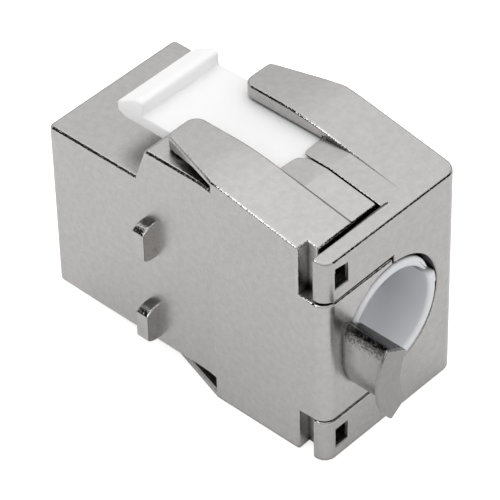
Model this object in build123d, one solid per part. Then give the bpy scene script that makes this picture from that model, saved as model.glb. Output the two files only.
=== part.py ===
from build123d import *
import os
from math import cos, radians, sin, tan

os.makedirs("parts", exist_ok=True)

# Shielded keystone jack, eight-way, toolless, with two hinged rear doors.
# Sizes are millimetres. While it is modelled, Y runs from the front face of the
# nose to the cable end, Z runs up from the underside of the nose, and X = 0 is
# the middle of the jack. The last section moves it to its stored origin.

# Working values: how far joined shapes run into each other, how far a cut runs
# past the surface it opens, and a distance beyond the whole jack
overlap = 0.2
past = 1.0
far = 60.0
full_turn_deg = 360
half_right_deg = 45

# Overall widths
nose_width = 14.5
door_width = 15.47

# Front housing
nose_height = 16.36
nose_length = 9.47
step_run = 1.16
body_height = 19.62
side_wall = 0.8
floor_wall = 1.3
nose_roof = 0.86
front_wall = 1.2
ramp_length = 2.4
nose_corner_radius = 0.5
body_top_run = 2.0
body_shoulder_run = 1.3
body_door_gap = 0.25

# Panel hook under the nose
hook_width = 9.0
hook_front = 4.4
hook_length = 3.2
hook_depth = 1.3
hook_lead = 1.0

# Side lugs
lug_width = 1.25
lug_height = 3.45
lug_reach = 1.3
lug_from_front = 10.8
lug_heights = (2.2, 10.8)

# Plug port, a standard eight-way opening
port_width = 11.8
port_height = 6.8
port_floor = 5.3
clip_width = 6.2
clip_depth = 2.6
clip_slot_width = 3.6
clip_slot_depth = 1.1
port_depth = 12.4
port_margin = 0.05

# Latch
latch_width = 8.7
latch_front = 5.05
latch_thickness = 1.12
ridge_front_height = 0.12
ridge_height = 1.23
ridge_rear = 7.8
ridge_flat = 0.7
pivot_radius = 0.6
pivot_inset = 1.2
latch_side_gap = 0.08
latch_travel_room = 1.3
latch_nose_rise = 0.4
latch_nose_run = 0.75
arm_root_drop = 0.2
arm_root_length = 1.2
arm_root_run = 0.6
cradle_rise = 0.18
cradle_wall = 0.4
# Corner radii of the latch seen from the side, from the nose over the ridge
latch_radii = (0.2, 0.3, 0.5, 0.3, 0.12, 0, 0, 0, 0.2, 0.4)

# Doors
flap_thickness = 0.65
flap_rise = 1.42
door_drop = 1.6
door_wall = 0.75
kink_from_front = 18.09
tip_from_front = 11.8
tip_half_width = 5.85
flap_gap_half = 2.6
tip_radius = 1.1
tip_outer_radius = 0.7
inner_bevel_length = 1.1
top_slope_deg = 10.4
top_blend_radius = 24.0
lip_width = 0.7
lip_clearance = 0.1
door_edge = 0.155
ramp_gap = 0.08
rear_corner_radius = 1.2

# Inner tongues that close the top between the flaps
tongue_inset = 2.2
tongue_rise = 0.38
tongue_level = 2.8
tongue_length = 8.0
saddle_tongue_radius = 1.2
cover_tongue_radius = 1.15
tongue_relief = 1.5
seam_near = -0.08
seam_gap = 0.16

# Hinge trunnions, cast on the doors
hinge_half_spacing = 5.2
hinge_from_front = 13.1
boss_radius = 0.95
trunnion_radius = 0.45
trunnion_depth = 1.1
trunnion_gap = 0.05
trunnion_end_gap = 0.1

# Rear closure
closure_length = 7.15
strip_thickness = 1.4
strip_gap = 0.3
top_strip_height = 6.27
bottom_strip_height = 4.35
strip_edge_gap = 0.18
strip_end = 7.65
strip_front_radius = 0.22
strip_rear_radius = 1.1
saddle_rear_wall = 1.95
notch_length = 1.03
notch_inner = 6.52
notch_wall = 0.45
window_left = 5.05
window_width = 1.5
window_height = 1.9
window_from_top = 3.06
window_from_bottom = 1.15
window_skin = 0.45
window_pocket_near = 0.3
window_pocket_far = 1.3
window_pocket_rise = 0.25

# Cable opening, collar and saddle
cable_axis_height = 8.65
opening_radius = 5.45
opening_rise = 0.08
collar_radius = 5.3
collar_wall = 0.85
finger_start_deg = 118
finger_end_deg = 146.5
finger_round_deg = 3.5
finger_bend = 0.32
finger_middle_bend = 0.08
finger_taper = 0.07
slot_inner_deg = 154.5
slot_outer_deg = 165
tab_end_deg = 178
tab_gap = 0.05
saddle_reach = 4.75
saddle_outer_radius = 5.74
saddle_gap = 0.1
saddle_top_deg = 32
saddle_bottom_deg = -34
saddle_lip_radius = 6.3
saddle_lip_round = 1.15
saddle_lip_bulge = 0.12
flange_top_radius = 7.1
flange_radius = 7.15
flange_low_radius = 6.6
flange_thickness = 0.35
flange_widest_deg = 5
saddle_root_radius = 0.5
saddle_crease_radius = 0.9

# Wire manager
manager_gap = 0.1
manager_flange_half = 6.6
manager_flange_top = 17.4
manager_flange_bottom = 0.1
manager_rear_gap = 0.3
manager_step_gap = 0.3
passage_gap = 0.6
fan_bottom = 6.9
fan_top = 10.4
fan_wall = 1.0
wire_slot_half = 0.55
wire_slot_start = 0.9
wire_slot_end = 2.1

# Insert, board and terminal block
insert_gap = 0.05
board_thickness = 1.0
block_length = 5.6
block_inset = 1.8
insert_back_wall = 0.4
contact_count = 8
contact_pitch = 1.016
contact_width = 0.35
contact_height = 13.3
contact_front = 4.2
contact_tip = 10.6
contact_drop = 3.3
contact_bend = 0.7
groove_width = 0.55
groove_entry = 0.5
hole_clearance = 0.05
terminal_pitch = 2.8
terminal_width = 2.2
terminal_thickness = 0.45
terminal_rows = (4.6, 12.4)
terminals_in_row = 4
terminal_step = 0.8
blade_chamfer = 0.4
slot_lead_width = 0.25
slot_lead_length = 0.5
terminal_reach = 3.6
fork_slot = 0.42
fork_depth = 3.0
tail_width = 0.6
pocket_clearance = 0.15
pocket_end_gap = 0.3

# Shield springs
spring_thickness = 0.2
spring_height = 3.0
spring_level = 8.6
spring_length = 6.2
spring_front_gap = 0.25
spring_inset = 0.25
spring_bow = 0.35
spring_crest = 2.4
spring_inner_length = 4.8
spring_slot_wall = 0.5
spring_fold_room = 0.6

# Places worked out from the sizes above
nose_half = nose_width / 2
door_half = door_width / 2
latch_half = latch_width / 2
cavity_half = nose_half - side_wall
cavity_top = nose_height - nose_roof
door_inner_half = door_half - door_wall
ramp_end_half = door_half - door_edge - ramp_gap
body_rear_half = door_inner_half - body_door_gap
insert_rear = front_wall + port_depth + insert_back_wall
board_rear = insert_rear + board_thickness
block_rear = board_rear + block_length
housing_length = block_rear + block_inset
jack_length = housing_length + closure_length
whole_length = jack_length + saddle_reach
pivot_from_front = housing_length - pivot_inset
tongue_front = housing_length - tongue_inset
tongue_bend = tongue_front + tongue_level
tongue_merge = tongue_front + tongue_length
flap_top = body_height + flap_rise
tongue_top = body_height + tongue_rise
flap_under = flap_top - flap_thickness
floor_plate_top = -door_drop + flap_thickness
slope = tan(radians(top_slope_deg))
strip_front = jack_length - strip_thickness
saddle_back = strip_front - strip_gap
saddle_inner = saddle_back - saddle_rear_wall
port_top = port_floor + port_height
insert_half = cavity_half - insert_gap
pivot_height = body_height - pivot_radius
middle_top = flap_top - top_strip_height
middle_bottom = bottom_strip_height - door_drop
high_window_top = flap_top - window_from_top
low_window_bottom = window_from_bottom - door_drop
window_heights = (
    (high_window_top - window_height, high_window_top),
    (low_window_bottom, low_window_bottom + window_height),
)


def block(x0, x1, y0, y1, z0, z1):
    """A rectangular block between two opposite corners."""
    centre = Pos((x0 + x1) / 2, (y0 + y1) / 2, (z0 + z1) / 2)
    return centre * Box(x1 - x0, y1 - y0, z1 - z0)


def outline(points, radii=0):
    """A closed outline through the points, with each corner rounded by its radius."""
    if radii == 0:
        return make_face(Polyline(*points, close=True))
    return make_face(FilletPolyline(*points, radius=radii, close=True))


def plan(face, z0, z1):
    """A shape drawn in X and Y, raised from z0 to z1."""
    return extrude(Plane.XY.offset(z0) * face, z1 - z0)


def profile(face, x0, x1):
    """A shape drawn in Y and Z, drawn out from x0 to x1."""
    return extrude(Plane.YZ.offset(x0) * face, x1 - x0)


def section(face, y0, y1):
    """A shape drawn in X and Z, drawn out from y0 to y1."""
    return extrude(Plane.XZ.offset(-y1) * face, y1 - y0)


def disc(x, z, radius):
    """A round face centred on a point."""
    return Pos(x, z) * Circle(radius)


def upright(x, y, radius, z0, z1):
    """An upright cylinder."""
    return plan(disc(x, y, radius), z0, z1)


def polar(radius, degrees):
    """A point round the cable axis, in X and Z."""
    return (radius * cos(radians(degrees)), cable_axis_height + radius * sin(radians(degrees)))


def slope_height(y):
    """Height of the doors' sloping top at a distance from the nose."""
    return flap_top - (y - kink_from_front) * slope


# Front housing: one zinc casting, nickel plated


def port_face(margin):
    """The plug opening: a rectangle with the clip's notch and slot below it."""
    half = port_width / 2 + margin
    clip_half = clip_width / 2 + margin
    slot_half = clip_slot_width / 2 + margin
    clip_floor = port_floor - clip_depth
    slot_floor = clip_floor - clip_slot_depth
    points = [
        (-half, port_top + margin),
        (-half, port_floor - margin),
        (-clip_half, port_floor - margin),
        (-clip_half, clip_floor - margin),
        (-slot_half, clip_floor - margin),
        (-slot_half, slot_floor - margin),
        (slot_half, slot_floor - margin),
        (slot_half, clip_floor - margin),
        (clip_half, clip_floor - margin),
        (clip_half, port_floor - margin),
        (half, port_floor - margin),
        (half, port_top + margin),
    ]
    return outline(points)


def housing_block():
    """The outside of the housing, before it is hollowed."""
    side = outline(
        [
            (0, 0),
            (housing_length, 0),
            (housing_length, slope_height(housing_length) - flap_thickness - body_door_gap),
            (kink_from_front + body_top_run, body_height),
            (nose_length + step_run, body_height),
            (nose_length, nose_height),
            (0, nose_height),
        ]
    )
    ramp_start = kink_from_front - ramp_length
    shoulder = kink_from_front + body_shoulder_run
    ramp_end = kink_from_front - ramp_gap
    ramp_rise = ramp_end_half - nose_half
    half_plan = make_face(
        [
            Polyline(
                (ramp_end_half, ramp_end),
                (body_rear_half, shoulder),
                (body_rear_half, housing_length),
                (0, housing_length),
                (0, 0),
                (nose_half, 0),
                (nose_half, ramp_start),
            ),
            ThreePointArc(
                (nose_half, ramp_start),
                (nose_half + ramp_rise / 4, (ramp_start + ramp_end) / 2),
                (ramp_end_half, ramp_end),
            ),
        ]
    )
    right = plan(half_plan, -past, body_height + past)
    solid = profile(side, -far, far) & (right + mirror(right, Plane.YZ))
    corners = solid.edges().filter_by(Axis.Z).sort_by(Axis.Y)[:2]
    return fillet(corners, nose_corner_radius)


def side_lugs():
    """Four cast lugs, two on each side."""
    lugs = []
    for height in lug_heights:
        face = Pos(lug_from_front, height) * SlotOverall(lug_height, lug_width, rotation=90)
        lugs.append(profile(face, nose_half - overlap, nose_half + lug_reach))
    return lugs + [mirror(lug, Plane.YZ) for lug in lugs]


def panel_hook():
    """The fixed hook under the nose that goes into the panel first."""
    face = outline(
        [
            (hook_front, overlap),
            (hook_front, 0),
            (hook_front + hook_lead, -hook_depth),
            (hook_front + hook_length, -hook_depth),
            (hook_front + hook_length, overlap),
        ]
    )
    return profile(face, -hook_width / 2, hook_width / 2)


def latch_room():
    """What the latch needs cut from the housing: its channel and its seat."""
    half = latch_half + latch_side_gap
    channel_floor = body_height - latch_thickness - latch_travel_room
    seat_radius = pivot_radius + trunnion_gap
    channel_end = pivot_from_front - seat_radius - cradle_wall
    front_lip = pivot_height - pivot_radius + cradle_rise
    face = outline(
        [
            (nose_length - past, channel_floor),
            (channel_end, channel_floor),
            (channel_end, front_lip),
            (pivot_from_front, front_lip),
            (pivot_from_front, pivot_height),
            (pivot_from_front + seat_radius, pivot_height),
            (pivot_from_front + seat_radius, body_height + past),
            (nose_length - past, body_height + past),
        ]
    )
    seat = profile(disc(pivot_from_front, pivot_height, seat_radius), -half, half)
    return profile(face, -half, half) + seat


def trunnion_sockets():
    """Holes for the four hinge trunnions."""
    sockets = []
    socket_radius = trunnion_radius + trunnion_gap
    for x in (-hinge_half_spacing, hinge_half_spacing):
        for z0, z1 in (
            (-past, trunnion_depth + trunnion_end_gap),
            (body_height - trunnion_depth - trunnion_end_gap, body_height + past),
        ):
            sockets.append(upright(x, hinge_from_front, socket_radius, z0, z1))
    return sockets


def front_housing():
    """Nose, body, lugs and hook, hollow for the insert, board and block."""
    solid = housing_block() + side_lugs() + panel_hook()
    cavity = block(-cavity_half, cavity_half, front_wall, far, floor_wall, cavity_top)
    solid = solid - cavity
    solid = solid - section(port_face(port_margin), -past, front_wall + past)
    solid = solid - latch_room()
    return solid - trunnion_sockets()


# Latch: one white moulding, pivoting at its rear


def latch():
    """The arm with its catch ridge in front and its pivot barrel behind."""
    top = body_height
    under = top - latch_thickness
    crest = top + ridge_height
    root_under = pivot_height - arm_root_drop
    root_front = pivot_from_front - arm_root_length
    face = outline(
        [
            (latch_front, under + latch_nose_rise),
            (latch_front, top + ridge_front_height),
            (ridge_rear - ridge_flat, crest),
            (ridge_rear, crest),
            (ridge_rear, top),
            (pivot_from_front, top),
            (pivot_from_front, root_under),
            (root_front, root_under),
            (root_front - arm_root_run, under),
            (latch_front + latch_nose_run, under),
        ],
        latch_radii,
    )
    arm = profile(face, -latch_half, latch_half)
    barrel = profile(disc(pivot_from_front, pivot_height, pivot_radius), -latch_half, latch_half)
    return arm + barrel


# Doors: two zinc castings, nickel plated, hinged on cast trunnions


def door_plan(tongue_radius):
    """Outside of a door seen from above, for the side of +X."""
    points = [
        (seam_near, tongue_front),
        (flap_gap_half, tongue_front),
        (flap_gap_half, tip_from_front),
        (tip_half_width, tip_from_front),
        (door_half, kink_from_front),
        (door_half, jack_length),
        (seam_near, jack_length),
    ]
    radii = [tongue_radius, 0, tip_radius, tip_outer_radius, 0, rear_corner_radius, 0]
    return outline(points, radii)


def flap_only_plan():
    """The front flap's outline, ahead of and beside the tongue."""
    points = [
        (flap_gap_half, tip_from_front),
        (tip_half_width, tip_from_front),
        (door_half, kink_from_front),
        (door_half, tongue_front),
        (flap_gap_half, tongue_front),
    ]
    return outline(points, [tip_radius, tip_outer_radius, 0, 0, 0])


def door_hollow(inner_rear):
    """The space inside a door, open to the front and to the other door."""
    bevel_end = kink_from_front + inner_bevel_length
    plan_face = outline(
        [
            (-far, -far),
            (far, -far),
            (far, kink_from_front),
            (door_half - door_edge, kink_from_front),
            (door_inner_half, bevel_end),
            (door_inner_half, inner_rear),
            (-far, inner_rear),
        ]
    )
    side_face = outline(
        [
            (-far, floor_plate_top),
            (inner_rear, floor_plate_top),
            (inner_rear, slope_height(inner_rear) - flap_thickness),
            (kink_from_front, flap_under),
            (-far, flap_under),
        ]
    )
    return plan(plan_face, -far, far) & profile(side_face, -far, far)


def over_slope():
    """What is cut away above the doors' sloping top, blended into the level front."""
    face = outline(
        [
            (0, flap_top),
            (kink_from_front, flap_top),
            (far, slope_height(far)),
            (far, far),
            (0, far),
        ],
        [0, top_blend_radius, 0, 0, 0],
    )
    return profile(face, -far, far)


def tongue_trim():
    """What is cut away above the tongue, between the flaps."""
    merge = tongue_merge
    face = outline(
        [
            (tongue_front - past, tongue_top),
            (tongue_bend, tongue_top),
            (merge, slope_height(merge)),
            (merge, far),
            (tongue_front - past, far),
        ]
    )
    return profile(face, -far, flap_gap_half)


def hinge_lips():
    """Ribs, bosses and trunnions under the top flap and over the bottom flap."""
    lip_low = body_height + lip_clearance
    lip_high = -lip_clearance
    band = plan(flap_only_plan(), -far, far)
    hollow = block(
        flap_gap_half + lip_width, far, tip_from_front + lip_width, far, -far, far
    )
    ring = band - hollow
    into_flap = flap_under + overlap
    into_floor = floor_plate_top - overlap
    x = hinge_half_spacing
    y = hinge_from_front
    return [
        ring & block(-far, far, 0, tongue_front, lip_low, into_flap),
        ring & block(-far, far, 0, tongue_front, into_floor, lip_high),
        upright(x, y, boss_radius, lip_low, into_flap),
        upright(x, y, boss_radius, into_floor, lip_high),
        upright(x, y, trunnion_radius, body_height - trunnion_depth, lip_low + overlap),
        upright(x, y, trunnion_radius, lip_high - overlap, trunnion_depth),
    ]


def door_shell(inner_rear, tongue_radius):
    """What both doors share, for the side of +X, with a full rear wall."""
    solid = plan(door_plan(tongue_radius), -door_drop, flap_top)
    solid = solid - over_slope()
    solid = solid - door_hollow(inner_rear)
    tongue_space = outline(
        [
            (0, -far),
            (0, body_height + lip_clearance),
            (pivot_from_front + tongue_relief, body_height + lip_clearance),
            (pivot_from_front + tongue_relief, 0),
        ]
    )
    solid = solid - (
        profile(tongue_space, -far, flap_gap_half)
        & block(-far, far, 0, far, floor_plate_top, far)
    )
    solid = solid - tongue_trim()
    return solid + hinge_lips()


def cable_opening():
    """The round opening between the doors that the collar fills."""
    return disc(0, cable_axis_height + opening_rise, opening_radius)


def window_cut(x0, x1, grow, y0=0, y1=far):
    """The two square windows, larger by a margin where they are pockets."""
    cuts = []
    for low, high in window_heights:
        cuts.append(block(x0, x1, y0, y1, low - grow, high + grow))
    return cuts


def saddle_blend(radius, y, direction):
    """A hollow rounding round the trough, where it meets an upright face."""
    base = saddle_outer_radius
    turn = radians(saddle_top_deg)
    top_plane = Plane(
        origin=(0, 0, cable_axis_height),
        x_dir=(cos(turn), 0, sin(turn)),
        z_dir=(-sin(turn), 0, cos(turn)),
    )
    behind = y - direction * overlap
    away = y + direction * radius
    middle = radius * (1 - cos(radians(half_right_deg)))
    face = make_face(
        [
            ThreePointArc(
                (base + radius, y),
                (base + middle, y + direction * middle),
                (base, away),
            ),
            Polyline(
                (base, away),
                (base - overlap, away),
                (base - overlap, behind),
                (base + radius, behind),
                (base + radius, y),
            ),
        ]
    )
    cable_axis = Axis((0, 0, cable_axis_height), (0, 1, 0))
    return revolve(top_plane * face, cable_axis, saddle_top_deg - saddle_bottom_deg)


def saddle():
    """The trough that carries the cable, rounded along its top and flared at its end."""
    inner = collar_radius - collar_wall
    top = saddle_top_deg
    low = saddle_bottom_deg
    middle = (top + low) / 2
    lip = polar(saddle_lip_radius, top)
    side = (saddle_outer_radius, lip[1] - saddle_lip_round)
    round_middle = (
        (lip[0] + side[0]) / 2 + saddle_lip_bulge,
        (lip[1] + side[1]) / 2 + saddle_lip_bulge / 2,
    )
    flange_top = polar(flange_top_radius, top)
    flange_low = polar(flange_low_radius, low)
    bore_arc = ThreePointArc(polar(inner, low), polar(inner, middle), polar(inner, top))
    trough_face = make_face(
        [
            bore_arc,
            Line(polar(inner, top), lip),
            ThreePointArc(lip, round_middle, side),
            Line(side, polar(saddle_outer_radius, 0)),
            ThreePointArc(
                polar(saddle_outer_radius, 0),
                polar(saddle_outer_radius, low / 2),
                polar(saddle_outer_radius, low),
            ),
            Line(polar(saddle_outer_radius, low), polar(inner, low)),
        ]
    )
    flange_face = make_face(
        [
            bore_arc,
            Line(polar(inner, top), flange_top),
            ThreePointArc(flange_top, polar(flange_radius, flange_widest_deg), flange_low),
            Line(flange_low, polar(inner, low)),
        ]
    )
    flange_back = whole_length - flange_thickness
    trough = section(trough_face, saddle_inner, whole_length)
    flange = section(flange_face, flange_back, whole_length)
    root = saddle_blend(saddle_root_radius, saddle_back, 1)
    crease = saddle_blend(saddle_crease_radius, flange_back, -1)
    collar_room = disc(0, cable_axis_height, collar_radius + saddle_gap)
    return trough + flange + root + crease - section(collar_room, 0, jack_length + saddle_gap)


def saddle_door():
    """The door on the side of +X, with the middle strip and the saddle."""
    solid = door_shell(saddle_inner, saddle_tongue_radius)
    for low, high in ((middle_top, far), (-far, middle_bottom)):
        solid = solid - block(-far, far, saddle_back, far, low, high)
        notch_front = saddle_back - notch_length
        solid = solid - block(notch_inner, far, notch_front, saddle_back, low, high)
    solid = solid - section(cable_opening(), 0, far)
    solid = solid + saddle()
    return solid - window_cut(window_left, notch_inner - notch_wall, 0)


def cover_door():
    """The door on the side of -X, whose strips lie over the other door."""
    shell = mirror(door_shell(strip_front, cover_tongue_radius), Plane.YZ)
    seam_far = seam_near - seam_gap
    shell = shell & block(-far, seam_far, 0, far, -far, far)
    wall_plan = outline(
        [
            (-past, strip_front),
            (strip_end, strip_front),
            (strip_end, jack_length),
            (-past, jack_length),
        ],
        [0, strip_front_radius, strip_rear_radius, 0],
    )
    wall = plan(wall_plan, -door_drop, flap_top)
    wall = wall - over_slope()
    middle = block(
        seam_far, far, 0, far, middle_bottom - strip_edge_gap, middle_top + strip_edge_gap
    )
    solid = shell + (wall - middle)
    solid = solid - section(cable_opening(), 0, far)
    window_right = window_left + window_width
    solid = solid - window_cut(window_left, window_right, 0)
    return solid - window_cut(
        window_left - window_pocket_far,
        window_right + window_pocket_near,
        window_pocket_rise,
        strip_front - past,
        jack_length - window_skin,
    )


# Wire manager: one white moulding with the collar that the cable comes through


def collar_face():
    """The split ring of the collar: a finger that leans inward, a slot and a tab."""
    outer = collar_radius
    inner = collar_radius - collar_wall
    tab = opening_radius - tab_gap
    start = finger_start_deg
    middle = (start + finger_end_deg) / 2
    outer_end = polar(outer - finger_bend, finger_end_deg)
    inner_end = polar(inner + finger_taper, finger_end_deg)
    round_radius = (outer - finger_bend + inner + finger_taper) / 2
    tab_middle = (slot_outer_deg + tab_end_deg) / 2
    low_outer = (tab_end_deg + start + full_turn_deg) / 2
    low_inner = (slot_inner_deg + start + full_turn_deg) / 2
    edges = [
        ThreePointArc(polar(outer, tab_end_deg), polar(outer, low_outer), polar(outer, start)),
        ThreePointArc(polar(outer, start), polar(outer - finger_middle_bend, middle), outer_end),
        ThreePointArc(
            outer_end,
            polar(round_radius, finger_end_deg + finger_round_deg),
            inner_end,
        ),
        ThreePointArc(inner_end, polar(inner, middle), polar(inner, start)),
        ThreePointArc(
            polar(inner, start),
            polar(inner, low_inner),
            polar(inner, slot_inner_deg),
        ),
        Line(polar(inner, slot_inner_deg), polar(tab, slot_outer_deg)),
        ThreePointArc(
            polar(tab, slot_outer_deg),
            polar(tab, tab_middle),
            polar(tab, tab_end_deg),
        ),
        Line(polar(tab, tab_end_deg), polar(outer, tab_end_deg)),
    ]
    return make_face(edges)


def terminal_places():
    """Centre of each terminal in X and Z, row by row."""
    places = []
    for height in terminal_rows:
        for column in range(terminals_in_row):
            across = (column - (terminals_in_row - 1) / 2) * terminal_pitch
            places.append((across, height))
    return places


def wire_manager():
    """Body between the doors, with wire slots, blade pockets and the collar."""
    inner = collar_radius - collar_wall
    front = block_rear
    half = cavity_half - manager_gap
    flange_rear = saddle_inner - manager_rear_gap
    flange_front = housing_length + manager_step_gap
    low = floor_wall + manager_gap
    high = cavity_top - manager_gap
    solid = block(-half, half, front, flange_rear, low, high)
    solid = solid + block(
        -manager_flange_half,
        manager_flange_half,
        flange_front,
        flange_rear,
        manager_flange_bottom,
        manager_flange_top,
    )
    solid = solid + section(collar_face(), flange_rear, jack_length)
    passage_floor = front + terminal_reach + passage_gap
    passage = section(disc(0, cable_axis_height, inner), passage_floor, flange_rear)
    fan_half = half - fan_wall
    fan = block(-fan_half, fan_half, front - past, passage_floor + overlap, fan_bottom, fan_top)
    solid = solid - passage - fan
    pocket_half = terminal_width / 2 + pocket_clearance
    pocket_rise = terminal_thickness / 2 + pocket_clearance
    pocket_end = front + terminal_reach + pocket_end_gap
    for x, z in terminal_places():
        solid = solid - block(
            x - pocket_half, x + pocket_half, 0, pocket_end, z - pocket_rise, z + pocket_rise
        )
        outward = far if z > cable_axis_height else -far
        low_z, high_z = sorted((z, outward))
        solid = solid - block(
            x - wire_slot_half,
            x + wire_slot_half,
            front + wire_slot_start,
            front + wire_slot_end,
            low_z,
            high_z,
        )
    return solid


# Insert, contacts, board and terminals


def contact_places():
    """Where the eight contacts stand across the port."""
    middle = (contact_count - 1) / 2
    return [(number - middle) * contact_pitch for number in range(contact_count)]


def port_insert():
    """Moulded plug cavity with a comb of grooves for the contacts."""
    front = front_wall + insert_gap
    low = floor_wall + insert_gap
    high = cavity_top - insert_gap
    solid = block(-insert_half, insert_half, front, insert_rear, low, high)
    solid = solid - section(port_face(0), 0, front_wall + port_depth)
    roof = contact_height + contact_width / 2
    groove_front = contact_front - contact_width
    for x in contact_places():
        half = groove_width / 2
        solid = solid - block(x - half, x + half, groove_front, far, port_top - groove_entry, roof)
    low_z = spring_level - spring_height / 2 - hole_clearance
    high_z = spring_level + spring_height / 2 + hole_clearance
    outside = insert_half - spring_thickness - hole_clearance
    inside = port_width / 2 - spring_slot_wall
    long_slot = block(outside, far, 0, front + spring_length + spring_front_gap, low_z, high_z)
    fold_slot = block(inside, far, 0, front + spring_fold_room, low_z, high_z)
    slots = long_slot + fold_slot
    return solid - slots - mirror(slots, Plane.YZ)


def contact(x):
    """One bent contact, from the board forward and folded back into the port."""
    path = FilletPolyline(
        (board_rear, contact_height),
        (contact_front, contact_height),
        (contact_tip, contact_height - contact_drop),
        radius=[contact_bend],
    )
    face = trace(path, contact_width)
    return profile(face, x - contact_width / 2, x + contact_width / 2)


def circuit_board():
    """Upright board with holes for the contacts and the blades' tails."""
    half = insert_half
    solid = block(
        -half, half, insert_rear, board_rear, floor_wall + insert_gap, cavity_top - insert_gap
    )
    reach = contact_width / 2 + hole_clearance
    for x in contact_places():
        solid = solid - block(
            x - reach, x + reach, 0, far, contact_height - reach, contact_height + reach
        )
    tail = tail_width / 2 + hole_clearance
    rise = terminal_thickness / 2 + hole_clearance
    for x, z in terminal_places():
        solid = solid - block(x - tail, x + tail, 0, far, z - rise, z + rise)
    return solid


def terminal_block():
    """Moulded block behind the board with a slot for each blade."""
    solid = block(
        -insert_half,
        insert_half,
        board_rear,
        block_rear,
        floor_wall + insert_gap,
        cavity_top - insert_gap,
    )
    half = terminal_width / 2 + hole_clearance
    rise = terminal_thickness / 2 + hole_clearance
    for x, z in terminal_places():
        solid = solid - block(x - half, x + half, board_rear + terminal_step, far, z - rise, z + rise)
        solid = solid - block(
            x - tail_width / 2 - hole_clearance,
            x + tail_width / 2 + hole_clearance,
            0,
            far,
            z - rise,
            z + rise,
        )
    return solid


def terminal(x, z):
    """One slotted blade, with its tail through the board."""
    tip = block_rear + terminal_reach
    root = board_rear + terminal_step
    half = terminal_width / 2
    slot = fork_slot / 2
    lead = slot + slot_lead_width
    tail = tail_width / 2
    points = [
        (x - tail, insert_rear),
        (x + tail, insert_rear),
        (x + tail, root),
        (x + half, root),
        (x + half, tip - blade_chamfer),
        (x + half - blade_chamfer, tip),
        (x + lead, tip),
        (x + slot, tip - slot_lead_length),
        (x + slot, tip - fork_depth),
        (x - slot, tip - fork_depth),
        (x - slot, tip - slot_lead_length),
        (x - lead, tip),
        (x - half + blade_chamfer, tip),
        (x - half, tip - blade_chamfer),
        (x - half, root),
        (x - tail, root),
    ]
    return plan(outline(points), z - terminal_thickness / 2, z + terminal_thickness / 2)


def shield_spring():
    """Folded sheet spring beside the port, for the side of +X."""
    front = front_wall + spring_front_gap
    outside = cavity_half - spring_thickness / 2
    inside = port_width / 2 - spring_inset
    path = Polyline(
        (outside, front + spring_length),
        (outside, front),
        (inside, front),
        (inside - spring_bow, front + spring_crest),
        (inside, front + spring_inner_length),
    )
    face = trace(path, spring_thickness)
    low = spring_level - spring_height / 2
    return plan(face, low, low + spring_height)


# The jack is stored with its origin under the middle of its length, at the
# height of the doors' undersides, where it stands


def save(shape, name):
    """Moves a piece to the stored origin and writes it."""
    placed = Pos(0, -whole_length / 2, door_drop) * shape
    export_step(placed, f"parts/{name}.step")


save(front_housing(), "front_housing")
save(saddle_door(), "saddle_door")
save(cover_door(), "cover_door")
save(latch(), "latch")
save(wire_manager(), "wire_manager")
save(port_insert(), "port_insert")
save(circuit_board(), "circuit_board")
save(terminal_block(), "terminal_block")
for number, x in enumerate(contact_places(), start=1):
    save(contact(x), f"contact_{number}")
for number, (x, z) in enumerate(terminal_places(), start=1):
    save(terminal(x, z), f"terminal_{number}")
save(shield_spring(), "shield_spring_right")
save(mirror(shield_spring(), Plane.YZ), "shield_spring_left")
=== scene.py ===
import bmesh
import bpy
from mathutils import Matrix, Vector
from mathutils.bvhtree import BVHTree


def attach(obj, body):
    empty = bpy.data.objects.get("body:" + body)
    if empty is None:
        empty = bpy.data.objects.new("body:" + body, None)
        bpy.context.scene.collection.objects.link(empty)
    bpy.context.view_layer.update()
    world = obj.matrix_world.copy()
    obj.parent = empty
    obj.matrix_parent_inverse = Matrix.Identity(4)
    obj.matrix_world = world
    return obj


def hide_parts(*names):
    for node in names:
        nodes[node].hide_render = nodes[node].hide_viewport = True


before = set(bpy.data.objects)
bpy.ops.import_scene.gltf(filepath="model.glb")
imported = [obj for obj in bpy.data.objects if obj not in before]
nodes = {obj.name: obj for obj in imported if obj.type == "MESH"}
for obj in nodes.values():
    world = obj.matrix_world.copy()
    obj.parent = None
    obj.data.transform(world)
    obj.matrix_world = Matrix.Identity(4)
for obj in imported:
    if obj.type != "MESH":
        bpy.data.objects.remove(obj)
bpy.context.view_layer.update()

# The camera stands where the photograph was taken from, above the cable end,
# with a long lens. Its place, its turn and its lens were worked out from the
# straight edges of the jack in the photograph.
camera_data = bpy.data.cameras.new("camera")
camera_data.sensor_width = 36
camera_data.lens = 239.63
camera_data.clip_start = 0.01
camera_data.clip_end = 20
camera = bpy.data.objects.new("camera", camera_data)
camera.location = (0.143045, 0.133024, 0.184926)
camera.rotation_euler = (0.840458, 0.018305, 2.312499)
bpy.context.scene.collection.objects.link(camera)
bpy.context.scene.camera = camera
bpy.context.scene.view_settings.view_transform = "Standard"

# The studio is a white room, brightest overhead. Black screens in front, behind
# and low beside the jack, and a bright band beside it, show only in reflections:
# the plated edges mirror them as thin black and white lines.
front, rear = (0, -1, 0), (0, 1, 0)
right, left = (1, 0, 0), (-1, 0, 0)
up, down = (0, 0, 1), (0, 0, -1)
room_light = 1.3
screen_black = 0.99
band_light = 2.6
below_shade = (0.3, 0.3, 0.3, 1)
overhead_shade = (0.95, 0.94, 0.92, 1)
wall_shades = (
    (0.45, (0.6, 0.6, 0.6, 1)),
    (0.66, (0.78, 0.78, 0.78, 1)),
    (0.84, (0.92, 0.92, 0.92, 1)),
    (0.92, (0.93, 0.905, 0.895, 1)),
)


def feed(tree, value, socket):
    """Joins a socket to another one, or sets it to a plain value."""
    if hasattr(value, "links"):
        tree.links.new(value, socket)
    else:
        socket.default_value = value


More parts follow.
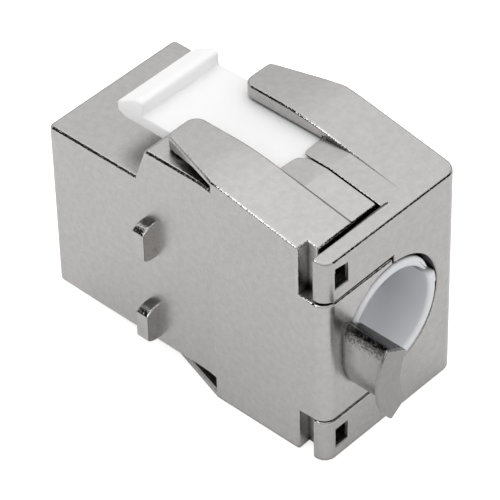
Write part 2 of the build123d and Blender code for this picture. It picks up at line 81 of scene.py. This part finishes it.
def number_sum(tree, operation, first, second, third=0.0):
    """One sum of two or three numbers."""
    node = tree.nodes.new("ShaderNodeMath")
    node.operation = operation
    for value, socket in zip((first, second, third), node.inputs):
        feed(tree, value, socket)
    return node.outputs["Value"]


world = bpy.data.worlds.new("studio")
bpy.context.scene.world = world
world.use_nodes = True
studio = world.node_tree
studio.nodes.clear()
direction = studio.nodes.new("ShaderNodeTexCoord").outputs["Generated"]
split = studio.nodes.new("ShaderNodeSeparateXYZ")
feed(studio, direction, split.inputs["Vector"])
walls = studio.nodes.new("ShaderNodeValToRGB")
shades = walls.color_ramp.elements
shades[0].position, shades[0].color = 0.0, below_shade
shades[1].position, shades[1].color = 1.0, overhead_shade
for height, shade in wall_shades:
    shades.new(height).color = shade
feed(studio, split.outputs["Z"], walls.inputs["Fac"])


def panel(side, full, gone, strength=1.0):
    """A part of the room towards one side, whose strength fades at its rim.

    full and gone are the cosines to that side where the rim starts and ends.
    """
    facing = studio.nodes.new("ShaderNodeVectorMath")
    facing.operation = "DOT_PRODUCT"
    facing.inputs[1].default_value = side
    feed(studio, direction, facing.inputs[0])
    share = studio.nodes.new("ShaderNodeMapRange")
    share.interpolation_type = "SMOOTHSTEP"
    share.inputs["From Min"].default_value = gone
    share.inputs["From Max"].default_value = full
    share.inputs["To Max"].default_value = strength
    feed(studio, facing.outputs["Value"], share.inputs["Value"])
    return share.outputs["Result"]


def both_of(first, second):
    """Where two parts of the room overlap."""
    return number_sum(studio, "MULTIPLY", first, second)


def one_without(first, second):
    """The first part of the room with the second cut out of it."""
    return number_sum(studio, "SUBTRACT", first, second)


front_screen = one_without(
    panel(front, full=0.4, gone=0.34, strength=screen_black),
    panel(front, full=0.76, gone=0.66, strength=screen_black),
)
front_screen = both_of(front_screen, panel(right, full=0.12, gone=-0.12))
rear_screen = both_of(
    panel(rear, full=0.5, gone=0.4, strength=screen_black),
    panel(left, full=0.46, gone=0.38),
)
low_screen = both_of(
    panel(front, full=0.2, gone=0.1, strength=screen_black),
    panel(right, full=0.7, gone=0.55),
)
low_screen = both_of(low_screen, panel(down, full=-0.15, gone=-0.25))
screens = number_sum(studio, "MAXIMUM", front_screen, rear_screen)
screens = number_sum(studio, "MAXIMUM", screens, low_screen)
bright_band = one_without(
    panel(front, full=0.2, gone=0.1, strength=band_light),
    panel(front, full=0.35, gone=0.3, strength=band_light),
)
bright_band = both_of(bright_band, panel(right, full=0.45, gone=0.3))
bright_band = both_of(bright_band, panel(up, full=0.35, gone=0.1))
seen = studio.nodes.new("ShaderNodeLightPath")
mirrored = both_of(one_without(bright_band, screens), seen.outputs["Is Glossy Ray"])
level = number_sum(studio, "ADD", 1.0, mirrored)
level = number_sum(studio, "MULTIPLY", level, room_light)
room = studio.nodes.new("ShaderNodeBackground")
feed(studio, walls.outputs["Color"], room.inputs["Color"])
feed(studio, level, room.inputs["Strength"])
backdrop = studio.nodes.new("ShaderNodeBackground")
backdrop.inputs["Color"].default_value = (1, 1, 1, 1)
choose = studio.nodes.new("ShaderNodeMixShader")
out = studio.nodes.new("ShaderNodeOutputWorld")
feed(studio, seen.outputs["Is Camera Ray"], choose.inputs["Fac"])
feed(studio, room.outputs["Background"], choose.inputs[1])
feed(studio, backdrop.outputs["Background"], choose.inputs[2])
feed(studio, choose.outputs["Shader"], out.inputs["Surface"])

# One wide soft lamp hangs above the jack, a little towards the nose and the far
# side, and gives the faint shadow on the floor.
lamp_data = bpy.data.lights.new("overhead_lamp", "AREA")
lamp_data.size = 0.5
lamp_data.energy = 0.2
lamp = bpy.data.objects.new("overhead_lamp", lamp_data)
lamp.location = (-0.08, -0.1, 0.45)
lamp_aim = Vector((0, 0, 0.01)) - lamp.location
lamp.rotation_euler = lamp_aim.to_track_quat("-Z", "Y").to_euler()
bpy.context.scene.collection.objects.link(lamp)

# The floor is a wide round of pale matt paper, a hair below the jack, and keeps
# its shadow. It also glows, so that the camera sees it white, and a little for
# the plating that mirrors it.
floor_drop = 0.00002
camera_glow, mirrored_glow = 0.7, 0.15
floor_mesh = bpy.data.meshes.new("floor")
bm = bmesh.new()
bmesh.ops.create_circle(bm, cap_ends=True, radius=3, segments=64)
bm.to_mesh(floor_mesh)
bm.free()
floor = bpy.data.objects.new("floor", floor_mesh)
floor.location = (0, 0, -floor_drop)
bpy.context.scene.collection.objects.link(floor)
paper = bpy.data.materials.new("paper")
paper.use_nodes = True
fibres = paper.node_tree
fibres.nodes.clear()
matt = fibres.nodes.new("ShaderNodeBsdfDiffuse")
matt.inputs["Color"].default_value = (0.9, 0.9, 0.9, 1)
glow = fibres.nodes.new("ShaderNodeEmission")
glow.inputs["Color"].default_value = (1, 1, 1, 1)
ray = fibres.nodes.new("ShaderNodeLightPath").outputs
lit = number_sum(fibres, "MULTIPLY", ray["Is Camera Ray"], camera_glow)
lit = number_sum(fibres, "MULTIPLY_ADD", ray["Is Glossy Ray"], mirrored_glow, lit)
feed(fibres, lit, glow.inputs["Strength"])
lit_paper = fibres.nodes.new("ShaderNodeAddShader")
out = fibres.nodes.new("ShaderNodeOutputMaterial")
feed(fibres, matt.outputs["BSDF"], lit_paper.inputs[0])
feed(fibres, glow.outputs["Emission"], lit_paper.inputs[1])
feed(fibres, lit_paper.outputs["Shader"], out.inputs["Surface"])
floor_mesh.materials.append(paper)

# The housing is the fixed part: the nose that takes the plug, the body, the
# snap-in step and four lugs. It is zinc, die cast in one piece and plated with
# satin nickel, which is polished bright on the edges and has painted shade deep
# where the surface is shut in.
dark_plate, light_plate = (0.42, 0.41, 0.405), (0.495, 0.485, 0.475)
# Near-black colours painted over the plating: painted shade towards the tip of the
# doors' cable end, and a painted dark reflection along its top.
shaded_plate, dark_reflection_plate = (0.02, 0.02, 0.02, 1), (0.03, 0.03, 0.03, 1)
mottle_share, most_shaded, darkest_reflection = 0.6, 0.4, 0.85
satin_low, satin_high, polish = 0.26, 0.34, 0.07
noise_low, noise_high = 0.3, 0.7
# Where on the doors' cable end the painted shade grows, and where the band of painted
# dark reflection lies and how ragged its edge is, in metres.
cable_end, cable_end_tip = 0.0125, 0.017
dark_band_start, dark_band_end, dark_band_fade = 0.0125, 0.0168, 0.0002
dark_band_low, dark_band_high, dark_band_ragged = 0.0137, 0.0144, 0.003


def noise(tree, place, scale, detail, rough):
    """A noise pattern that is fixed to the piece."""
    node = tree.nodes.new("ShaderNodeTexNoise")
    node.inputs["Scale"].default_value = scale
    node.inputs["Detail"].default_value = detail
    node.inputs["Roughness"].default_value = rough
    feed(tree, place, node.inputs["Vector"])
    return node.outputs["Fac"]


def ramp(tree, value, low, high, at_low, at_high):
    """Runs from one number to another while a value runs from low to high."""
    node = tree.nodes.new("ShaderNodeMapRange")
    node.inputs["From Min"].default_value = low
    node.inputs["From Max"].default_value = high
    node.inputs["To Min"].default_value = at_low
    node.inputs["To Max"].default_value = at_high
    feed(tree, value, node.inputs["Value"])
    return node.outputs["Result"]


def blend_colour(tree, share, first, second, way="MIX"):
    """Mixes two colours by a share."""
    node = tree.nodes.new("ShaderNodeMix")
    node.data_type = "RGBA"
    node.blend_type = way
    share_in, first_in, second_in, colour_out = 0, 6, 7, 2
    for value, socket in ((share, share_in), (first, first_in), (second, second_in)):
        feed(tree, value, node.inputs[socket])
    return node.outputs[colour_out]


def new_material(name):
    """A material with its shader and the piece's own coordinates."""
    material = bpy.data.materials.new(name)
    material.use_nodes = True
    tree = material.node_tree
    shader = tree.nodes["Principled BSDF"]
    place = tree.nodes.new("ShaderNodeTexCoord").outputs["Object"]
    return material, tree, shader, place


def bump(tree, height, normal, depth, strength):
    """Raises the surface by a pattern, on top of an earlier bump if there is one."""
    node = tree.nodes.new("ShaderNodeBump")
    node.inputs["Distance"].default_value = depth
    feed(tree, strength, node.inputs["Strength"])
    feed(tree, height, node.inputs["Height"])
    if normal is not None:
        feed(tree, normal, node.inputs["Normal"])
    return node.outputs["Normal"]


def paint_gap_shade(tree, colour, reach, low, high):
    """Paints shade into a colour where the surface is shut in."""
    shut = tree.nodes.new("ShaderNodeAmbientOcclusion")
    shut.samples = 8
    shut.inputs["Distance"].default_value = reach
    shade = ramp(tree, shut.outputs["AO"], low, high, at_low=0.02, at_high=1.0)
    grey = tree.nodes.new("ShaderNodeCombineColor")
    for channel in ("Red", "Green", "Blue"):
        feed(tree, shade, grey.inputs[channel])
    return blend_colour(tree, 1.0, colour, grey.outputs["Color"], "MULTIPLY")


def satin_nickel(name, tone, polished, gap_shade):
    """Satin nickel plate, all of it polished where polished is 1.

    The doors' cable end, the only plating so far back, is painted darker towards
    its tip: painted shade. A ragged band along its top is made smooth and painted
    nearly black: a painted dark reflection. The last argument is how far the
    painted shade reaches where the surface is shut in, and how open the surface is
    where that shade is full and where it ends.
    """
    material, tree, shader, place = new_material(name)
    split = tree.nodes.new("ShaderNodeSeparateXYZ")
    feed(tree, place, split.inputs["Vector"])
    back, height = split.outputs["Y"], split.outputs["Z"]
    clouds = noise(tree, place, scale=260, detail=3, rough=0.55)
    grain = noise(tree, place, scale=5200, detail=4, rough=0.6)
    mottle = noise(tree, place, scale=1800, detail=2, rough=0.5)
    mottle = ramp(tree, mottle, noise_low, noise_high, at_low=0.0, at_high=1.0)
    patches = blend_colour(tree, mottle_share, clouds, mottle)
    dark = [tone * value for value in dark_plate]
    light = [tone * value for value in light_plate]
    colour = blend_colour(tree, patches, (*dark, 1), (*light, 1))
    # Painted shade: the doors' cable end grows darker towards its tip.
    painted_shade = ramp(tree, back, cable_end, cable_end_tip, 0.0, most_shaded)
    colour = blend_colour(tree, painted_shade, colour, shaded_plate)
    # Painted dark reflection: a ragged band along the top of the cable end is painted
    # nearly black, and also made smooth.
    behind = ramp(tree, back, dark_band_start, dark_band_start + dark_band_fade, 0.0, 1.0)
    before = ramp(tree, back, dark_band_end - dark_band_fade, dark_band_end, 1.0, 0.0)
    above = number_sum(tree, "MULTIPLY_ADD", grain, dark_band_ragged, height)
    above = ramp(tree, above, dark_band_low, dark_band_high, 0.0, 1.0)
    polish_and_painted_dark = number_sum(tree, "MULTIPLY", behind, before)
    polish_and_painted_dark = number_sum(tree, "MULTIPLY", polish_and_painted_dark, above)
    painted_dark = number_sum(tree, "MULTIPLY", polish_and_painted_dark, darkest_reflection)
    colour = blend_colour(tree, painted_dark, colour, dark_reflection_plate)
    # Painted shade where the surface is shut in.
    colour = paint_gap_shade(tree, colour, *gap_shade)
    feed(tree, colour, shader.inputs["Base Color"])
    shader.inputs["Metallic"].default_value = 1.0
    shiny = number_sum(tree, "MAXIMUM", polish_and_painted_dark, polished)
    satin = ramp(tree, grain, noise_low, noise_high, satin_low, satin_high)
    rough = tree.nodes.new("ShaderNodeMix")
    feed(tree, shiny, rough.inputs["Factor"])
    feed(tree, satin, rough.inputs["A"])
    feed(tree, polish, rough.inputs["B"])
    feed(tree, rough.outputs["Result"], shader.inputs["Roughness"])
    uneven = bump(tree, grain, None, depth=0.000004, strength=0.5)
    uneven = bump(tree, clouds, uneven, depth=0.00002, strength=0.25)
    pits = noise(tree, place, scale=5000, detail=2, rough=0.5)
    uneven = bump(tree, pits, uneven, depth=0.00003, strength=shiny)
    feed(tree, uneven, shader.inputs["Normal"])
    return material


# A lug stands out from the wall by its reach. Seen from the side it is a slot
# shape, whose round ends start a run above and a run below its middle height.
lug_wall, lug_reach = 0.00725, 0.0013
lug_back, lug_half_width = -0.00635, 0.000625
lug_heights, lug_run = (0.0038, 0.0124), 0.0011
lug_fall = 0.0006
lug_foot, lug_slack = -0.01, 0.00001
lug_cuts = (0.3, 0.55, 0.72, 0.84, 0.92, 0.97)


def turn_down_lugs(bm):
    """Squares the lugs' ends and turns them down towards their outer faces."""
    for side in (-1, 1):
        for share in lug_cuts:
            bmesh.ops.bisect_plane(
                bm,
                geom=bm.verts[:] + bm.edges[:] + bm.faces[:],
                dist=0.0000001,
                plane_co=(side * (lug_wall + share * lug_reach), 0, 0),
                plane_no=(side, 0, 0),
            )
    edge_of_end = lug_half_width + lug_slack
    for vertex in bm.verts:
        share = (abs(vertex.co.x) - lug_wall) / lug_reach
        across = vertex.co.y - lug_back
        for height in lug_heights:
            along = vertex.co.z - height
            past = abs(along) - lug_run
            in_end = abs(across) <= edge_of_end and 0 < past < edge_of_end
            if share < lug_foot or not in_end:
                continue
            square = Vector((across, past)).length / max(abs(across), past)
            turn = 1 - max(0, 1 - share * share) ** 0.5
            drop = 1 - lug_fall / lug_half_width * turn
            vertex.co.y = lug_back + across * square
            upwards = 1 if along > 0 else -1
            vertex.co.z = height + (lug_run + past * square * drop) * upwards


def clear_of(middle, boxes):
    """Says whether a point in millimetres lies outside all of the boxes."""
    for low, high in boxes:
        if all(low[axis] < middle[axis] * 1000 < high[axis] for axis in range(3)):
            return False
    return True


def middle_of(edge):
    """The middle of an edge."""
    return (edge.verts[0].co + edge.verts[1].co) / 2


def breadth(face):
    """How broad a face is, as its area over its longest edge."""
    return face.calc_area() / max(edge.calc_length() for edge in face.edges)


# Lengths are in metres here, angles in radians, and the boxes in millimetres.
same_spot = 0.000001
flat_angle, curved_angle, edge_angle = 0.01, 0.1, 0.6
widest_round, furthest_edge = 0.0002, 0.0005
broad_face, faces_up = 0.0008, 0.3


def round_edges(bm, width, where, boxes, finish):
    """Rounds the sharp outer edges whose middles are inside or outside of boxes."""
    chosen = []
    for edge in bm.edges:
        if not edge.is_manifold or not edge.is_convex:
            continue
        if edge.calc_face_angle() < edge_angle:
            continue
        if clear_of(middle_of(edge), boxes) == (where == "outside"):
            chosen.append(edge)
    rounding = bmesh.ops.bevel(
        bm,
        geom=chosen,
        offset=width,
        offset_type="OFFSET",
        segments=3,
        profile=0.5,
        affect="EDGES",
        clamp_overlap=False,
        material=-1,
    )
    for face in rounding["faces"]:
        face.material_index = finish


def trim_rounding(bm, surface):
    """Draws corners that overshot back to the surface, and drops stray faces."""
    for vertex in bm.verts:
        spot, facing, _, distance = surface.find_nearest(vertex.co)
        if distance > widest_round or (vertex.co - spot).dot(facing) > 0:
            vertex.co = spot
    bmesh.ops.remove_doubles(bm, verts=bm.verts, dist=same_spot)
    bmesh.ops.dissolve_degenerate(bm, dist=same_spot, edges=bm.edges)
    stray = set()
    for edge in bm.edges:
        if surface.find_nearest(middle_of(edge))[3] > furthest_edge:
            stray.update(edge.link_faces)
    bmesh.ops.delete(bm, geom=list(stray), context="FACES")
    loose = [edge for edge in bm.edges if not edge.link_faces]
    bmesh.ops.delete(bm, geom=loose, context="EDGES")


def rounded_copy(name, body, materials, rounds, reshape=None, bright_tops=()):
    """Takes a CAD node's place with a copy whose outer edges are rounded.

    Each of the rounds is a width, "inside" or "outside", and the boxes that this
    is about. The roundings and the bright tops have the last of the materials.
    """
    bm = bmesh.new()
    bm.from_mesh(nodes[name].data)
    bmesh.ops.remove_doubles(bm, verts=bm.verts, dist=same_spot)
    bmesh.ops.dissolve_limit(
        bm, angle_limit=flat_angle, verts=bm.verts, edges=bm.edges
    )
    if reshape:
        reshape(bm)
    surface = BVHTree.FromBMesh(bm)
    last = len(materials) - 1
    for width, where, boxes in rounds:
        round_edges(bm, width, where, boxes, last)
    trim_rounding(bm, surface)
    for face in bm.faces:
        face.smooth = True
        bright = not clear_of(face.calc_center_median(), bright_tops)
        if bright and face.normal.z > faces_up:
            face.material_index = last
    for edge in bm.edges:
        broad = min(breadth(face) for face in edge.link_faces) > broad_face
        edge.smooth = edge.calc_face_angle(0) < (curved_angle if broad else edge_angle)
    mesh = bpy.data.meshes.new(f"{name}_finished")
    bm.to_mesh(mesh)
    bm.free()
    for material in materials:
        mesh.materials.append(material)
    piece = bpy.data.objects.new(f"{name}_finished", mesh)
    bpy.context.scene.collection.objects.link(piece)
    evened = piece.modifiers.new("even_shading", "WEIGHTED_NORMAL")
    evened.keep_sharp = True
    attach(piece, body)
    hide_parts(name)


# How far the painted shade reaches where the housing is shut in, and how open the
# surface is where it is full and where it ends: on the walls and on the rounded edges.
wall_gap_shade, edge_gap_shade = (0.0009, 0.05, 0.4), (0.0004, 0.05, 0.4)
housing_nickel = (
    satin_nickel("housing_nickel", tone=1.0, polished=0.0, gap_shade=wall_gap_shade),
    satin_nickel("housing_edge_nickel", tone=1.0, polished=1.0, gap_shade=edge_gap_shade),
)
housing_round, lug_round = 0.0003, 0.00007
lugs = (((-9, -8.2, 2), (-7.3, -4.5, 17)), ((7.3, -8.2, 2), (9, -4.5, 17)))
rounded_copy(
    "front_housing", "housing", housing_nickel,
    ((housing_round, "outside", lugs), (lug_round, "inside", lugs)),
    reshape=turn_down_lugs,
    bright_tops=lugs,
)

# The two doors hold the cable end. They are zinc castings with the same plating
# and hang on pins at the housing's rear corners. One carries the middle strip and
# the cable's saddle, the other the upper and lower strips with their windows.
# How far the painted shade reaches where the doors are shut in, and how open the
# surface is where it is full and where it ends.
door_gap_shade = (0.001, 0.25, 0.75)
saddle_nickel = (
    satin_nickel("saddle_door_nickel", tone=0.99, polished=0.0, gap_shade=door_gap_shade),
    satin_nickel("saddle_door_edge_nickel", tone=0.99, polished=1.0, gap_shade=door_gap_shade),
)
# The far cover door is toned darker than the saddle door: painted shade where less
# light falls.
cover_nickel = (
    satin_nickel("cover_door_nickel", tone=0.93, polished=0.0, gap_shade=door_gap_shade),
    satin_nickel("cover_door_edge_nickel", tone=0.93, polished=1.0, gap_shade=door_gap_shade),
)
door_round, tongue_round = 0.00023, 0.00005
saddle_end_round, window_round = 0.0001, 0.00008
tongues = (((-2.55, 2, 15), (2.55, 10.6, 22)),)
saddle_end = (((3, 8, 4), (8, 18, 16)),)
windows = tuple(
    ((near, 10.5, low), (far, 12.6, high))
    for near, far in ((4.8, 6.9), (-6.9, -4.8))
    for low, high in ((0.6, 3.6), (15.2, 19.2))
)
rounded_copy(
    "saddle_door", "saddle_door", saddle_nickel,
    (
        (door_round, "outside", tongues + saddle_end),
        (saddle_end_round, "inside", saddle_end),
        (tongue_round, "inside", tongues),
    ),
)
rounded_copy(
    "cover_door", "cover_door", cover_nickel,
    (
        (door_round, "outside", tongues + windows),
        (window_round, "inside", windows),
        (tongue_round, "inside", tongues),
    ),
)

# The latch snaps the jack into its panel. It is moulded in white plastic in one
# piece with the bending root that holds it on the housing, and has the soft sheen
# and the slight waviness of a polished mould.
latch_round = 0.0001


def softened_edges(tree, radius):
    """Rounds the shading at edges."""
    edge = tree.nodes.new("ShaderNodeBevel")
    edge.samples = 8
    edge.inputs["Radius"].default_value = radius
    return edge.outputs["Normal"]


def moulded(name, colour, shade, rough, edge_radius):
    """Moulded plastic with a faint flow pattern, and painted shade where it is shut
    in.
    """
    material, tree, shader, place = new_material(name)
    normal = softened_edges(tree, edge_radius)
    flow = noise(tree, place, scale=420, detail=3, rough=0.5)
    skin = noise(tree, place, scale=6000, detail=3, rough=0.6)
    tint = blend_colour(tree, flow, (*colour, 1), (*shade, 1))
    # Painted shade where the plastic is shut in.
    tint = paint_gap_shade(tree, tint, reach=0.0008, low=0.05, high=0.5)
    sheen = ramp(tree, skin, noise_low, noise_high, rough, rough + 0.1)
    waves = bump(tree, skin, normal, depth=0.000003, strength=0.4)
    feed(tree, tint, shader.inputs["Base Color"])
    feed(tree, sheen, shader.inputs["Roughness"])
    feed(tree, waves, shader.inputs["Normal"])
    return material


white = moulded(
    "white_plastic",
    colour=(0.93, 0.933, 0.94),
    shade=(0.905, 0.908, 0.915),
    rough=0.38,
    edge_radius=0.0002,
)
white_shader = white.node_tree.nodes["Principled BSDF"]
white_shader.inputs["Subsurface Weight"].default_value = 0.35
white_shader.inputs["Subsurface Radius"].default_value = (1, 1, 1)
white_shader.inputs["Subsurface Scale"].default_value = 0.0015
rounded_copy(
    "latch", "latch", (white,),
    ((latch_round, "outside", ()),),
)

# The wire manager leads the cable's wires to the blades. It is moulded in white
# plastic, has a slotted collar round the cable, and is pressed into the rear
# opening, where the doors hold it. Its colour is painted greyer than the latch's:
# painted shade from the doors around it.
collar_round = 0.00025
collar_end = (((-8, 12, 0), (8, 14, 20)),)
# The white plastic painted greyer: painted shade.
pale = moulded(
    "shaded_white_plastic",
    colour=(0.79, 0.8, 0.825),
    shade=(0.76, 0.77, 0.795),
    rough=0.36,
    edge_radius=0.0003,
)
rounded_copy(
    "wire_manager", "housing", (pale,),
    ((collar_round, "inside", collar_end),),
)

# The port insert guides the plug's contacts and the terminal block carries the
# blades. Both are moulded in black plastic and pressed into the housing.


def finish_node(name, material):
    """Gives a CAD node one material all over."""
    mesh = nodes[name].data
    mesh.materials.clear()
    mesh.materials.append(material)


black = moulded(
    "black_plastic",
    colour=(0.02, 0.02, 0.021),
    shade=(0.03, 0.03, 0.031),
    rough=0.42,
    edge_radius=0.0001,
)
for name in ("port_insert", "terminal_block"):
    finish_node(name, black)

# The circuit board joins the contacts to the blades. It is glass cloth and resin
# under green solder mask, and stands between the insert and the block.
green = moulded(
    "solder_mask",
    colour=(0.012, 0.09, 0.035),
    shade=(0.02, 0.12, 0.05),
    rough=0.3,
    edge_radius=0.00005,
)
finish_node("circuit_board", green)

# The plug contacts are gold-plated spring wire, bent and soldered to the board.
# The blades are tin-plated bronze, stamped and pressed into the block, and the
# shield springs are rolled steel, bent to press on the plug's shield.


def plated(name, colour, shade, rough):
    """Bright plate with fine drawing lines."""
    material, tree, shader, place = new_material(name)
    normal = softened_edges(tree, radius=0.00005)
    lines = noise(tree, place, scale=9000, detail=2, rough=0.5)
    tint = blend_colour(tree, lines, (*colour, 1), (*shade, 1))
    sheen = ramp(tree, lines, noise_low, noise_high, rough, rough + 0.1)
    scored = bump(tree, lines, normal, depth=0.000002, strength=0.4)
    feed(tree, tint, shader.inputs["Base Color"])
    shader.inputs["Metallic"].default_value = 1.0
    feed(tree, sheen, shader.inputs["Roughness"])
    feed(tree, scored, shader.inputs["Normal"])
    return material


gold = plated("gold_plate", (0.83, 0.6, 0.24), (0.9, 0.68, 0.3), rough=0.2)
tin = plated("tin_plate", (0.62, 0.61, 0.58), (0.7, 0.69, 0.66), rough=0.32)
steel = plated("spring_steel", (0.55, 0.55, 0.56), (0.62, 0.62, 0.63), rough=0.28)
for number in range(1, 9):
    finish_node(f"contact_{number}", gold)
    finish_node(f"terminal_{number}", tin)
for side in ("left", "right"):
    finish_node(f"shield_spring_{side}", steel)
